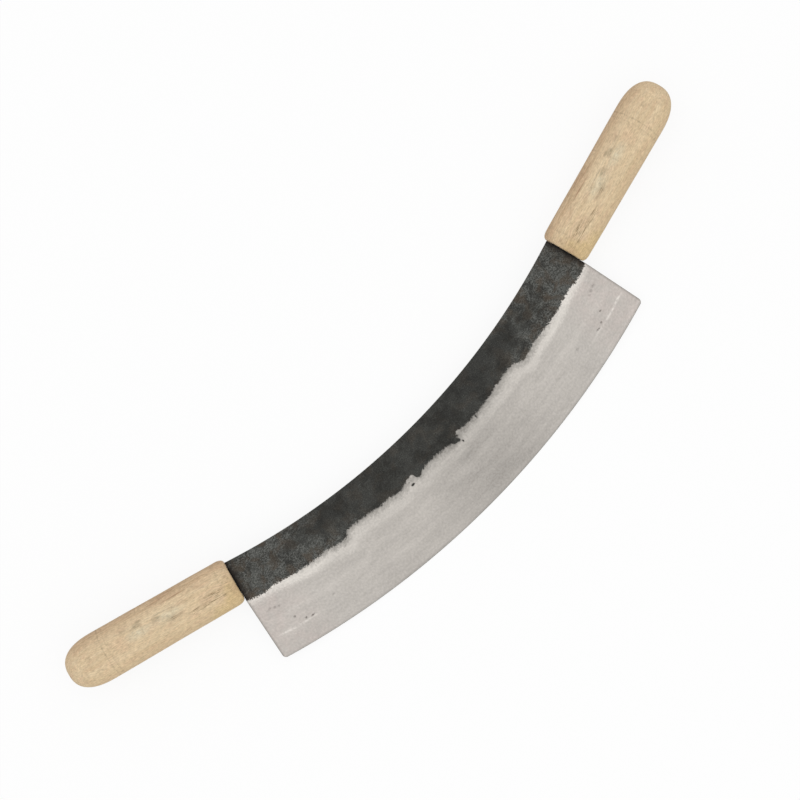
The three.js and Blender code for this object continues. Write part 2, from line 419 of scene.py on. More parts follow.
def add(tree, kind, output=0, settings=None, **values):
    """Adds a node, feeds its inputs by name, with _ for a space, and returns one output."""
    node = tree.nodes.new(kind)
    for name, value in (settings or {}).items():
        setattr(node, name, value)
    for name, value in values.items():
        feed(node.inputs[name.replace("_", " ")], value)
    return Field(tree, node.outputs[output])


def combine(x, y, z):
    tree = next(value.tree for value in (x, y, z) if isinstance(value, Field))
    return add(tree, "ShaderNodeCombineXYZ", X=x, Y=y, Z=z)


def hypot(a, b):
    return (a * a + b * b).sqrt()


def noise(vector, scale, detail=2.0, roughness=0.5, distortion=0.0):
    values = {"Scale": scale, "Detail": detail, "Roughness": roughness, "Distortion": distortion}
    return add(vector.tree, "ShaderNodeTexNoise", Vector=vector, **values)


def mix(factor, first, second):
    """Blends two colours."""
    node = factor.tree.nodes.new("ShaderNodeMix")
    node.data_type = "RGBA"
    for index, value in ((0, factor), (6, first), (7, second)):
        feed(node.inputs[index], value)
    return Field(factor.tree, node.outputs[2])


def vector_math(operation, *vectors, output=0):
    tree = vectors[0].tree
    node = tree.nodes.new("ShaderNodeVectorMath")
    node.operation = operation
    for socket, vector in zip(node.inputs, vectors):
        feed(socket, vector)
    return Field(tree, node.outputs[output])


def shade(colour, factor):
    """Makes a colour lighter or darker."""
    scale = {"operation": "SCALE"}
    return add(colour.tree, "ShaderNodeVectorMath", 0, scale, Vector=colour, Scale=factor)


def attribute(tree, name, output="Fac"):
    return add(tree, "ShaderNodeAttribute", output, {"attribute_name": name})


# Geometry trees


def geometry_tree(name, labels):
    """A geometry tree with one named input for each size, and one for the material."""
    tree = bpy.data.node_groups.new(name, "GeometryNodeTree")
    tree.interface.new_socket("Geometry", in_out="OUTPUT", socket_type="NodeSocketGeometry")
    for label in labels:
        kind = "NodeSocketMaterial" if label == "Material" else "NodeSocketFloat"
        tree.interface.new_socket(label, in_out="INPUT", socket_type=kind)
    entry = tree.nodes.new("NodeGroupInput")
    return tree, {label: Field(tree, entry.outputs[label]) for label in labels}


def grid(tree, columns, rows):
    """A grid, and the numbers of its columns and rows."""
    mesh = add(
        tree,
        "GeometryNodeMeshGrid",
        Size_X=float(columns),
        Size_Y=float(rows),
        Vertices_X=columns + 1,
        Vertices_Y=rows + 1,
    )
    column, row, _ = add(tree, "GeometryNodeInputPosition").split()
    return mesh, column + columns / 2, row + rows / 2


def keep(geometry, name, value, kind="FLOAT"):
    """Stores a field on the points of a piece, for its material to read."""
    return add(
        geometry.tree,
        "GeometryNodeStoreNamedAttribute",
        settings={"data_type": kind, "domain": "POINT"},
        Geometry=geometry,
        Name=name,
        Value=value,
    )


def finish_tree(geometry, material):
    """Welds the seams, smooths the shading, and ends the tree."""
    tree = geometry.tree
    welded = add(tree, "GeometryNodeMergeByDistance", Geometry=geometry, Distance=WELD_DISTANCE)
    smooth = add(tree, "GeometryNodeSetShadeSmooth", Geometry=welded, Shade_Smooth=True)
    real = add(tree, "GeometryNodeRealizeInstances", Geometry=smooth)
    painted = add(tree, "GeometryNodeSetMaterial", Geometry=real, Material=material)
    ending = tree.nodes.new("NodeGroupOutput")
    feed(ending.inputs[0], painted)


def sizes(group, *names):
    """Sizes of a property group, under the names of a tree's inputs."""
    return {name.replace("_", " ").title(): getattr(group, name) for name in names}


def grow(name, tree, values, place):
    """Runs a geometry tree once, and keeps its result as a plain mesh put in its place."""
    holder = bpy.data.objects.new(name, bpy.data.meshes.new(name))
    bpy.context.scene.collection.objects.link(holder)
    modifier = holder.modifiers.new("Shape", "NODES")
    modifier.node_group = tree
    for item in tree.interface.items_tree:
        if item.in_out == "INPUT":
            modifier[item.identifier] = values[item.name]
    depsgraph = bpy.context.evaluated_depsgraph_get()
    mesh = bpy.data.meshes.new_from_object(
        holder.evaluated_get(depsgraph),
        preserve_all_data_layers=True,
        depsgraph=depsgraph,
    )
    if not mesh.polygons:
        raise RuntimeError(f"{name} came out empty")
    holder.modifiers.remove(modifier)
    mesh.transform(place)
    holder.data = mesh
    return holder


# Blade


def blade_marks(blade, handle):
    """Spine corner, shoulder foot and heel of the right-hand end, in the blade's own frame.

    The middle of the spine is the origin, +X runs along the knife and +Y from the edge to the spine.
    """
    half = blade.spine_chord / 2
    corner = Vector((half, blade.spine_radius - math.sqrt(blade.spine_radius**2 - half**2), 0))
    foot = corner + blade.shoulder * Vector((math.sin(handle.rake), -math.cos(handle.rake), 0))
    lean = handle.rake - blade.end_lean
    down = Vector((math.sin(lean), -math.cos(lean), 0))
    offset = foot - Vector((0, blade.edge_radius - blade.depth, 0))
    along = offset.dot(down)
    reach = math.sqrt(along**2 - offset.length_squared + blade.edge_radius**2) - along
    return corner, foot, foot + reach * down


def blade_place(blade):
    """Carries the blade's own frame to the row frame, by the flat face that a rack holds."""
    flat = next(m for m in frame["record"]["mounts"] if m["name"] == "blade_flat_upper")
    out = Vector(flat["axis"]).normalized()
    along = Vector((1, 0, 0))
    rise = out.cross(along)
    place = Matrix((along, rise, out)).transposed().to_4x4()
    place.translation = Vector(flat["pos_m"]) - out * blade.thickness / 2 + rise * blade.grind_drop / 2
    return place


def handle_place(blade, handle, side):
    """Carries a handle's own frame to the blade's: its neck is the origin and +Y runs to the butt."""
    corner, _, _ = blade_marks(blade, handle)
    across = Vector((math.sin(handle.rake), -math.cos(handle.rake), 0))
    out = Vector((math.cos(handle.rake), math.sin(handle.rake), 0))
    neck = corner + across * (handle.neck_width / 2 - handle.neck_proud) + out * handle.joint_gap
    turn = Matrix.Rotation(side * (handle.rake - QUARTER_TURN), 4, "Z")
    return Matrix.Translation((side * neck.x, neck.y, 0)) @ turn


def wander(along):
    """Metres that the grind line strays below its curve, at a place along the blade in metres."""
    node = along.tree.nodes.new("ShaderNodeFloatCurve")
    points = node.mapping.curves[0].points
    places = [(x / WANDER_SPAN + 0.5, y / WANDER_REACH + 0.5) for x, y in GRIND_WANDER]
    points[0].location = places[0]
    points[1].location = places[-1]
    for place in places[1:-1]:
        points.new(*place)
    node.mapping.update()
    feed(node.inputs["Value"], along / (WANDER_SPAN * MM) + 0.5)
    return (Field(along.tree, node.outputs[0]) - 0.5) * (WANDER_REACH * MM)


def plate_spread(size, column, row):
    """Where a grid point lies on the plate: 0 to 1 along from the middle, and 0 to 1 down from the spine.

    The last column and the first and last rows are the rims, which stay on the outline.
    """
    last = BLADE_COLUMNS - 1
    ease_in = row.ramp(1, 1 + EASE_STEPS, 0, QUARTER_TURN)
    face = row.ramp(1 + EASE_STEPS, BLADE_ROWS - 1)
    inner = abs(column).ramp(0, last - EASE_STEPS)
    inner = inner + END_CROWDING * ((inner * QUARTER_TURN).sin() - inner)
    ease_out = abs(column).ramp(last - EASE_STEPS, last, 0, QUARTER_TURN)
    share_down = size["Ease"] / size["Depth"]
    share_along = size["Ease"] / size["Heel X"]
    down = (1 - ease_in.cos()) * share_down + face * (1 - share_down)
    along = inner * (1 - share_along) + ease_out.sin() * share_along
    corner = ease_in.sin().least(ease_out.cos())
    return along, down, corner


def round_heel(size, along, down):
    """Draws the corner of end face and edge in to its radius."""
    beside = (size["Heel Radius"] - (1 - along) * size["Heel X"]).most(0)
    above = (size["Heel Radius"] - (1 - down) * size["Depth"]).most(0)
    shrink = 1 - beside.most(above) / hypot(beside, above).most(TINY)
    inside = (beside * above).ramp(0, TINY * MM)
    along = along - beside * shrink * inside / size["Heel X"]
    down = down - above * shrink * inside / size["Depth"]
    return along, down


def end_line(size, down):
    """X and Y of the end face at a share of the way from the spine corner to the heel."""
    shoulder = down.ramp(0, size["Shoulder Share"])
    free = down.ramp(size["Shoulder Share"], 1)
    x = size["Corner X"] + shoulder * (size["Foot X"] - size["Corner X"])
    y = size["Corner Y"] + shoulder * (size["Foot Y"] - size["Corner Y"])
    x = x + free * (size["Heel X"] - size["Foot X"])
    y = y + free * (size["Heel Y"] - size["Foot Y"])
    return x, y


def blade_outline(size, column, along, down):
    """X and Y of a grid point: arcs that bow from the spine's curve over to the edge's."""
    end_x, end_y = end_line(size, down)
    rise = end_y + down * size["Depth"]
    bow = (end_x * end_x + rise * rise) / (rise * 2)
    x = along * end_x * column.sign()
    y = bow - (bow * bow - x * x).sqrt() - down * size["Depth"]
    return x, y, (1 - along) * end_x


def half_thickness(size, x, y, side, below_line, above_edge, cut):
    """From the middle of the thickness to one face: forged, then ground, then honed."""
    spot = combine(x, y, HAMMER_OFFSET * side)
    marks = noise(spot, BROAD_HAMMER, 2.0) - 0.5
    marks = marks + (noise(spot, FINE_HAMMER, 1.0) - 0.5) * FINE_SHARE
    forged = size["Thickness"] / 2 + marks * size["Hammer"]
    ground = size["Thickness"] / 2 - below_line.most(0) * size["Grind Slope"] - size["Scale Step"]
    honed = size["Edge Land"] / 2 + above_edge * size["Hone Slope"]
    return (forged + cut * (ground - forged)).least(honed)


def blade_half(tree, size, side):
    """One face of the blade and its rims, from the middle of the thickness: 1 is above, -1 below."""
    mesh, column, row = grid(tree, 2 * BLADE_COLUMNS, BLADE_ROWS)
    column = column - BLADE_COLUMNS
    along, down, corner = plate_spread(size, column, row)
    along, down = round_heel(size, along, down)
    x, y, inset = blade_outline(size, column, along, down)
    below_line = hypot(x, y - size["Grind Radius"] + size["Grind Drop"]) - size["Grind Radius"]
    above_edge = size["Edge Radius"] - hypot(x, y - size["Edge Radius"] + size["Depth"])
    grind = below_line - wander(x * side)
    cut = grind.ramp(-STEP_HALF, STEP_HALF, smooth=True)
    half = half_thickness(size, x, y, side, below_line, above_edge, cut)
    eased = half - size["Ease"].least(half * EASE_LIMIT) * (1 - corner)
    rims = row.ramp(0, 1) * row.ramp(BLADE_ROWS - 1, BLADE_ROWS, 1, 0)
    rims = rims * abs(column).ramp(BLADE_COLUMNS - 1, BLADE_COLUMNS, 1, 0)

    mesh = keep(mesh, "grind_depth", grind / MM)
    mesh = keep(mesh, "edge_height", above_edge / MM)
    mesh = keep(mesh, "end_inset", inset / MM)
    mesh = keep(mesh, "worn_corner", 1 - corner * rims)
    spot = combine(x / MM, y / MM, FACE_OFFSET * side)
    mesh = keep(mesh, "blade_spot", spot, "FLOAT_VECTOR")
    place = combine(x, y, eased * rims * side)
    mesh = add(tree, "GeometryNodeSetPosition", Geometry=mesh, Position=place)
    return add(tree, "GeometryNodeFlipFaces", Mesh=mesh) if side > 0 else mesh


def tang(tree, size, side):
    """A tapered tang with a rounded tip, drawn out of the shoulder into the handle."""
    across, along, through = TANG_STEPS
    bar = add(tree, "GeometryNodeMeshCube", Vertices_X=across, Vertices_Y=along, Vertices_Z=through)
    x, y, z = add(tree, "GeometryNodeInputPosition").split()
    share = y + 0.5
    taper = size["Tang Root"] + share * (size["Tang Tip"] - size["Tang Root"])
    rounded = (1 - share.ramp(1 - TANG_TIP_SHARE, 1) ** 2).sqrt().most(TANG_BLUNT)
    thickness = size["Tang Thickness"] * (1 - abs(x * 2) ** 6 * TANG_THINNING)
    reach = share * (size["Tang Length"] + TANG_SINK) - TANG_SINK
    place = combine(x * taper * rounded, reach, z * thickness)
    bar = add(tree, "GeometryNodeSetPosition", Geometry=bar, Position=place)
    for name, value in TANG_MARKS.items():
        bar = keep(bar, name, value)
    turn = combine(0.0, 0.0, (size["Rake"] - QUARTER_TURN) * side)
    neck = combine(size["Neck X"] * side, size["Neck Y"], 0.0)
    return add(tree, "GeometryNodeTransform", Geometry=bar, Translation=neck, Rotation=turn)


def blade_values(blade, handle):
    """Values of the blade tree's inputs, by name."""
    corner, foot, heel = blade_marks(blade, handle)
    neck = handle_place(blade, handle, 1).translation
    hone_start = blade.depth - blade.grind_drop - blade.hone_height
    values = sizes(blade, "depth", "thickness", "ease", "heel_radius", "edge_radius", "edge_land")
    values |= sizes(blade, "grind_radius", "grind_drop", "scale_step", "hammer")
    values |= sizes(blade, "tang_root", "tang_tip", "tang_length", "tang_thickness")
    for name, spot in (("Corner", corner), ("Foot", foot), ("Heel", heel), ("Neck", neck)):
        values |= {f"{name} X": spot.x, f"{name} Y": spot.y}
    return values | {
        "Shoulder Share": blade.shoulder / (blade.shoulder + (heel - foot).length),
        "Hone Slope": (blade.hone_thickness - blade.edge_land) / 2 / blade.hone_height,
        "Grind Slope": (blade.thickness - blade.hone_thickness) / 2 / hone_start,
        "Rake": handle.rake,
    }


def blade_tree(labels):
    tree, size = geometry_tree("Forged blade", labels)
    whole = tree.nodes.new("GeometryNodeJoinGeometry")
    for side in (-1, 1):
        feed(whole.inputs[0], blade_half(tree, size, side))
        feed(whole.inputs[0], tang(tree, size, side))
    finish_tree(Field(tree, whole.outputs[0]), size["Material"])
    return tree


# Handles


def handle_values(handle, side):
    """Values of the handle tree's inputs, by name."""
    values = sizes(handle, "width", "neck_width", "neck_ease", "neck_round", "waviness")
    values |= sizes(handle, "butt_length", "butt_fullness", "section_fullness")
    values |= sizes(handle, "bore_width", "bore_height", "bore_depth")
    flatness = handle.thickness / handle.width
    return values | {"Length": handle.reach, "Flatness": flatness, "Side": float(side)}


def leg(row, name, low=0.0, high=1.0):
    """Goes from low to high over one leg of the sweep."""
    before = list(SWEEP)[: list(SWEEP).index(name)]
    start = sum(SWEEP[other] for other in before)
    return row.ramp(start, start + SWEEP[name], low, high)


def grip_profile(size, row):
    """Place along the grip, and half width, from the tip of the butt to the neck and down the bore."""
    butt = leg(row, "butt", QUARTER_TURN, 0)
    body = leg(row, "body")
    rim = leg(row, "rim", 0, QUARTER_TURN)
    bore = leg(row, "bore")
    power = 2 / size["Butt Fullness"]
    straight = size["Length"] - size["Butt Length"]
    y = straight + size["Butt Length"] * butt.sin().most(0) ** power
    y = y - body * (straight - size["Neck Round"]) - size["Neck Round"] * rim.sin()
    y = y + bore * size["Bore Depth"]
    half = (size["Width"] + body * (size["Neck Width"] - size["Width"])) / 2
    half = half * butt.cos().most(0) ** power - size["Neck Ease"] * (1 - rim.cos())
    return y, half


def grip_section(size, row, turn, y, half):
    """X and Z round the grip: a full oval, a little uneven from the hand."""
    fullness = size["Section Fullness"]
    fuller = (abs(turn.cos()) ** fullness + abs(turn.sin()) ** fullness) ** (-1 / fullness)
    spot = combine(turn.cos() * WAVE_ROUND, y * WAVE_ALONG, turn.sin() * WAVE_ROUND)
    wavy = (noise(spot, WAVE_FINENESS, 1.0) - 0.5) * size["Waviness"]
    grip = half * fuller + wavy * row.ramp(0, CALM_STEPS) * leg(row, "rim", 1, 0)
    return grip * turn.cos(), grip * turn.sin() * size["Flatness"]


def bore_section(size, row, turn):
    """X and Z round the bore: a slot with round ends, closed at its foot."""
    opening = leg(row, "foot", 1, 0)
    round_end = size["Bore Height"] / 2
    flat = size["Bore Width"] / 2 - round_end
    x = round_end * turn.cos() + flat * (turn.cos() * SLOT_SQUARENESS).least(1).most(-1)
    return x * opening, round_end * turn.sin() * opening


def handle_tree(labels):
    """A grip swept from the tip of its butt over the neck and down the bore of the tang."""
    tree, size = geometry_tree("Wooden handle", labels)
    mesh, column, row = grid(tree, ROUND_STEPS, sum(SWEEP.values()))
    turn = column * (2 * math.pi / ROUND_STEPS)
    y, half = grip_profile(size, row)
    grip_x, grip_z = grip_section(size, row, turn, y, half)
    bore_x, bore_z = bore_section(size, row, turn)
    face = leg(row, "face")
    x = grip_x + face * (bore_x - grip_x)
    z = grip_z + face * (bore_z - grip_z)

    spot = combine(x * size["Side"] / MM, y / MM, z / MM)
    mesh = keep(mesh, "grip_spot", spot, "FLOAT_VECTOR")
    mesh = add(tree, "GeometryNodeSetPosition", Geometry=mesh, Position=combine(x, y, z))
    finish_tree(mesh, size["Material"])
    return tree


# Shared effects of the materials


def shader_group(name, inputs, output):
    """Starts a shader node group, and returns the fields of its named inputs."""
    tree = bpy.data.node_groups.new(name, "ShaderNodeTree")
    for label, kind in inputs.items():
        tree.interface.new_socket(label, in_out="INPUT", socket_type=f"NodeSocket{kind}")
    tree.interface.new_socket(output, in_out="OUTPUT", socket_type="NodeSocketFloat")
    entry = tree.nodes.new("NodeGroupInput")
    return {label: Field(tree, entry.outputs[label]) for label in inputs}


def end_group(value):
    ending = value.tree.nodes.new("NodeGroupOutput")
    feed(ending.inputs[0], value)
    return value.tree


def drawn_grain_group():
    """Streaks drawn out along one direction, for wood grain and grinding marks: about -0.5 to 0.5."""
    found = bpy.data.node_groups.get("Drawn grain")
    if found:
        return found
    inputs = {"Spot": "Vector", "Fineness": "Vector", "Detail": "Float"}
    given = shader_group("Drawn grain", inputs, "Grain")
    drawn = vector_math("MULTIPLY", given["Spot"], given["Fineness"])
    return end_group(noise(drawn, 1.0, given["Detail"], 0.6) - 0.5)


def soft_patch_group():
    """A soft-edged oval patch, for stains, pits and smudges: 1 at its middle and 0 outside."""
    found = bpy.data.node_groups.get("Soft patch")
    if found:
        return found
    inputs = {"Spot": "Vector", "Middle": "Vector", "Reach": "Vector"}
    given = shader_group("Soft patch", inputs, "Patch")
    away = vector_math("SUBTRACT", given["Spot"], given["Middle"])
    share = vector_math("DIVIDE", away, given["Reach"])
    far = vector_math("LENGTH", share, output="Value")
    return end_group(far.ramp(1, 0, smooth=True))


def drawn_grain(spot, fineness, detail=2.0):
    settings = {"node_tree": drawn_grain_group()}
    return add(spot.tree, "ShaderNodeGroup", 0, settings, Spot=spot, Fineness=fineness, Detail=detail)


def soft_patch(spot, middle, reach):
    settings = {"node_tree": soft_patch_group()}
    return add(spot.tree, "ShaderNodeGroup", 0, settings, Spot=spot, Middle=middle, Reach=reach)


def hand_marks(spot, places, level=0.0, height=1.0):
    """Soft oval patches at listed spots, each times its strength."""
    return [
        soft_patch(spot, (across, along, level), (half_width, half_length, height)) * strength
        for across, along, half_width, half_length, strength in places
    ]


def stain(marks, colour, tone, broken):
    """Mixes a tone into a colour at listed marks, broken up by a mask."""
    for mark in marks:
        colour = mix(mark * broken, colour, tone)
    return colour


def new_material(name):
    material = bpy.data.materials.new(name)
    material.use_nodes = True
    tree = material.node_tree
    return material, tree, tree.nodes["Principled BSDF"]


def bump(shader, height, distance):
    """Raises fine relief by a height field, in metres of distance."""
    normal = add(height.tree, "ShaderNodeBump", Height=height, Distance=distance)
    feed(shader.inputs["Normal"], normal)


# Steel


class BladeFace:
    """Fields that place a point on the blade's surface, in mm, for its material."""

    def __init__(self, tree):
        self.spot = attribute(tree, "blade_spot", "Vector")
        x, y, z = self.spot.split()
        self.away = abs(x)
        self.line = attribute(tree, "grind_depth")
        self.inset = attribute(tree, "end_inset")
        self.edge_height = attribute(tree, "edge_height")
        self.end = self.away.ramp(35, 135, smooth=True)
        # Patterns follow the edge, the fanned strokes of the wheel, or either face as it is turned up.
        self.flow = combine(x, self.edge_height, z)
        fan = x.ramp(-30, 70, -1, 1, smooth=True)
        self.strokes = combine(x - fan * self.line, self.line, z)
        self.faced = combine(x * z.sign(), -y, 0.0)
        self.mirrored = combine(self.away, -y, 0.0)
        # Below the ragged end of the scale the face is ground. Corners are worn in places.
        self.depth = scale_line(self)
        soft = self.end.ramp(0, 1, 0.6, 0.35)
        self.ground = self.depth.ramp(-soft, soft)
        self.ragged = noise(self.spot, 0.35, 4.0, 0.6)
        self.worn = attribute(tree, "worn_corner") * self.ragged.ramp(0.4, 0.65) * 0.5


def scale_line(face):
    """Depth below the ragged line where the scale ends, in mm, with the nicks that the wheel left."""
    lumps = drawn_grain(face.flow, (0.2, 0.2, 1.0), 2.0) * face.end.ramp(0, 1, 2.4, 1.2)
    chips = drawn_grain(face.flow, (0.6, 0.6, 1.0), 4.0) * 3.2
    flakes = drawn_grain(face.flow, (1.1, 1.1, 1.0), 3.0) * face.end.ramp(0, 1, 1.4, 5.0)
    teeth = drawn_grain(face.strokes, (0.6, 0.2, 1.0), 3.0) * face.end.ramp(0, 1, 2.6, 1.4)
    return sum(hand_marks(face.faced, NICKS), face.line + lumps + chips + flakes + teeth)


def forge_scale(finish, face):
    """Colour of the scale: black, with grey bloom that spreads to the ends, and rust stains."""
    patches = noise(face.spot, 0.09, 4.0, 0.6)
    reach = face.away + abs(face.line + 15) * 2.5 + (patches - 0.5) * 60
    end = reach.ramp(87, 138, smooth=True)
    bloom = patches.ramp(0.36, 0.66, smooth=True)
    blotch = noise(face.spot, 0.25, 3.0, 0.6).ramp(0.36, 0.6, 0.3, 1.45)
    speckle = noise(face.spot, 0.9, 3.0, 0.8).ramp(0.42, 0.59) * blotch
    amount = bloom * (0.2 + end * 0.1) + speckle * (0.15 + end * 0.72) + end * 0.02
    colour = mix(amount, finish.scale_dark, finish.scale_grey)
    rust = noise(face.spot, 0.12, 2.0, 0.6, 0.4).ramp(0.44, 0.66, smooth=True)
    colour = mix(rust * (0.2 + end * 0.45), colour, finish.scale_rust)
    grit = noise(face.spot, 1.7, 2.0, 0.6) - 0.5
    return shade(colour, sum(hand_marks(face.faced, SCALE_TONES), grit * 2.6 + 1))


def fresh_band(face):
    """How bright the steel is under the scale: a band that narrows and brightens towards the ends."""
    dulled = soft_patch(face.spot, *DULLED) * 0.12
    band = (face.depth - face.away.ramp(80, 140, 9.3, 3.6)).ramp(-2.2, 2.2, 1, 0, smooth=True)
    return band * (face.away.ramp(75, 118, 0.36, 0.84) - face.away.ramp(122, 142, 0, 0.6) - dulled)


def grey_veil(face, flakes):
    """How much scale the wheel left just below the line, brushed out along its strokes."""
    brushed = drawn_grain(face.strokes, (0.4, 0.2, 1.0), 4.0)
    foot = face.away.ramp(80, 124, 5.0, 1.2)
    veil = (face.depth - brushed * 7 - flakes * 6).ramp(0.4, foot, 0.62, 0)
    return veil.most(face.depth.ramp(0, 2, 0.5, 0)) * face.away.ramp(92, 124, 1, 0)


def hone_line(face):
    """How bright the broken line above the honed bevel is, near the ends."""
    straying = drawn_grain(face.flow, (0.07, 0.07, 1.0)) * 3
    broken = drawn_grain(face.flow, (0.4, 0.25, 1.0), 3.0).ramp(-0.16, 0.12)
    line = abs(face.edge_height + straying - HONE_MARK).ramp(0.2, 1.0, 0.55, 0)
    return line * broken * face.away.ramp(112, 138) * face.away.ramp(149, 154, 1, 0)


def grinding_marks(face):
    """How much lighter or darker the ground face is, from fine marks to broad shading."""
    marks = drawn_grain(face.flow, (0.03, 0.3, 1.0), 3.0) * face.end.ramp(0, 1, 0.28, 0.16)
    hatch = drawn_grain(face.flow, (0.7, 0.7, 1.0), 4.0) * 0.55
    cloud = drawn_grain(face.spot, (0.05, 0.07, 1.0)) * 0.2
    shadow = soft_patch(face.spot, *SHADED) * 0.17
    honed = face.edge_height.ramp(8, 15, 0.06, 0, smooth=True) * (1 - face.end * 0.7)
    second_pass = abs(face.depth - SECOND_PASS).ramp(0.3, 3.5, 0.06, 0, smooth=True)
    return marks + hatch + cloud + second_pass - shadow - honed


def ground_steel(finish, face):
    """Colour of the ground face: grey, then bright, under the scale, with fine marks below."""
    flakes = drawn_grain(face.flow, (0.8, 0.8, 1.0), 3.0)
    near_end = face.away.ramp(*END_ZONE)
    # Painted reflection: the ground face turns lighter towards the ends.
    colour = mix(face.end, finish.steel_mid, finish.steel_end_painted_light)
    blushed = noise(face.spot, 0.16, 3.0).ramp(0.36, 0.62, 0.3, 1)
    warm = face.away.ramp(*END_ZONE, smooth=True) * blushed
    colour = mix(warm, colour, finish.steel_warm)
    colour = mix(fresh_band(face), colour, finish.steel_bright)
    sparks = (face.depth + flakes * 16).ramp(0.2, 3.0, 0.6, 0) * near_end
    colour = mix(sparks, colour, finish.steel_spark)
    colour = mix(grey_veil(face, flakes), colour, finish.steel_grey)
    colour = mix(hone_line(face), colour, finish.steel_spark)
    chips = flakes * face.depth.ramp(1, 7, 1.6, 0) * near_end
    return shade(colour, grinding_marks(face) + chips + 1)


def steel_colour(finish, face):
    """Scale and ground steel, with pits, dull marks, worn corners, painted shade along the end faces and
    the edge, and darker scale next to the necks.
    """
    scale = forge_scale(finish, face)
    colour = mix(face.ground, scale, ground_steel(finish, face))
    patchy = noise(face.spot, 1.2, 2.0).ramp(0.36, 0.6, 0.4, 1.2)
    colour = stain(hand_marks(face.mirrored, PITS), colour, finish.steel_pit, patchy)
    colour = stain(hand_marks(face.faced, DULLS), colour, finish.steel_grey, patchy)
    # Painted shade: a thin darker line on the ground face along the end faces and the edge, where the
    # eased corner turns from the light.
    painted_rim_shade = face.inset.ramp(0.1, 1.5, 0.55, 0).most(face.edge_height.ramp(0.1, 1.6, 0.35, 0))
    colour = mix(painted_rim_shade * face.ground, colour, finish.steel_grey)
    colour = mix(face.worn, colour, finish.steel_mid)
    scaled = 1 - face.ground
    browned = (face.inset + (patchy - face.ragged) * 6 - face.line * 0.2).ramp(1, 10, 0.6, 0)
    colour = mix(browned * scaled, colour, finish.scale_rust)
    # Darker scale next to the handle necks.
    blackening = (face.inset + face.ragged * 5).ramp(3.0, 6.0, 1, 0)
    return mix(blackening * scaled, colour, finish.blackening)


def steel_material(finish):
    """Forged steel: black scale above a ragged line, and a ground face below it."""
    material, tree, shader = new_material("Forged and ground steel")
    face = BladeFace(tree)
    feed(shader.inputs["Base Color"], steel_colour(finish, face))
    feed(shader.inputs["Metallic"], face.ground.most(face.worn))
    uneven = noise(face.spot, 0.25, 3.0) - 0.5
    feed(shader.inputs["Roughness"], face.ground.ramp(0, 1, 0.62, 0.42) + uneven * 0.25)
    shader.inputs["Specular IOR Level"].default_value = 0.25
    grain = drawn_grain(face.flow, (0.25, 2.2, 1.0), 3.0)
    pebble = noise(face.spot, 0.8, 4.0, 0.6)
    height = face.ground * grain * 0.3 + (1 - face.ground) * (pebble * 0.6 + 0.5)
    bump(shader, height, 0.08 * MM)
    return material


# Wood


def wood_grain(spot):
    """Growth bands, fine fibres and open pores, all drawn out along the grip."""
    bands = drawn_grain(spot, (0.25, 0.008, 0.25), 2.0)
    lines = drawn_grain(spot, (1.3, 0.025, 1.3), 3.0)
    fibre = drawn_grain(spot, (1.4, 0.4, 1.4), 4.0)
    pores = drawn_grain(spot, (1.3, 0.2, 1.3), 3.0).ramp(0.08, 0.24)
    return bands, lines, fibre, pores


def mark_grip(spot, places, colour, tone, broken):
    """Mixes a tone into the wood at listed marks on the broad sides of a grip."""
    x, y, z = spot.split()
    marks = hand_marks(combine(x, y, abs(z)), places, GRIP_TOP, GRIP_FADE)
    return stain(marks, colour, tone, broken)


def wood_stains(finish, spot, colour):
    """Brown along the spine side, yellow at the neck, and grey smudges and flecks from the hand."""
    x, y, _ = spot.split()
    patchy = noise(spot, 0.1, 4.0, 0.6)
    streaky = drawn_grain(spot, (0.6, 0.03, 0.6), 3.0)
    side = (-x + streaky * 20).ramp(4, 19, smooth=True)
    blush = drawn_grain(spot, (0.3, 0.08, 0.3), 3.0).ramp(-0.04, 0.16, 0, 0.45)
    colour = mix(blush, colour, finish.wood_blush)
    colour = mix(side * 0.8, colour, finish.wood_brown)
    reddened = drawn_grain(spot, (1.4, 0.03, 1.4), 3.0).ramp(-0.12, 0.12, 0.1, 1.3)
    colour = mark_grip(spot, STREAKS, colour, finish.wood_red, reddened)
    neck = (y * 0.7 - x + (patchy - 0.5) * 30).ramp(8, -6, smooth=True)
    colour = mix(neck.most(x.ramp(3, 13, 0, 0.22)) * 0.72, colour, finish.wood_yellow)
    dirty = patchy.ramp(0.3, 0.6)
    colour = mark_grip(spot, DIRT, colour, finish.wood_red, dirty)
    blots = drawn_grain(spot, (0.8, 0.5, 0.8), 4.0).ramp(-0.18, 0.16, 0.35, 1)
    colour = mark_grip(spot, PALES, colour, finish.wood_worn, blots)
    colour = mark_grip(spot, SMUDGES, colour, finish.wood_smudge, blots)
    dashes = drawn_grain(spot, (1.9, 0.15, 1.9), 3.0).ramp(-0.04, 0.12)
    return mark_grip(spot, FLECKS, colour, finish.wood_mark, dashes)


def wood_material(finish):
    """Sanded pale wood, unvarnished, with hand dirt and brown flecks."""
    material, tree, shader = new_material("Pale handle wood")
    spot = attribute(tree, "grip_spot", "Vector")
    x, y, _ = spot.split()
    bands, lines, fibre, pores = wood_grain(spot)
    grain = (lines * 1.4 + bands * 1.4 + 0.42).ramp(0, 1)
    colour = mix(grain, finish.wood_pale, finish.wood_dark)
    colour = wood_stains(finish, spot, colour)
    mottle = noise(spot, 0.4, 3.0, 0.6) - 0.5
    light = 1 + fibre * 0.98 + mottle * 0.38 - pores * 0.15
    broken = noise(spot, 0.3, 2.0).ramp(0.3, 0.55)
    for along, dark in RINGS:
        ring = abs(y + x * x * RING_BOW - along).ramp(0.1, 0.7, dark, 0)
        light = light - ring * broken
    feed(shader.inputs["Base Color"], shade(colour, light))
    feed(shader.inputs["Roughness"], grain * 0.12 + 0.6)
    shader.inputs["Specular IOR Level"].default_value = 0.3
    bump(shader, fibre * 0.7 - grain * 0.4 - pores * 0.5, 0.12 * MM)
    return material


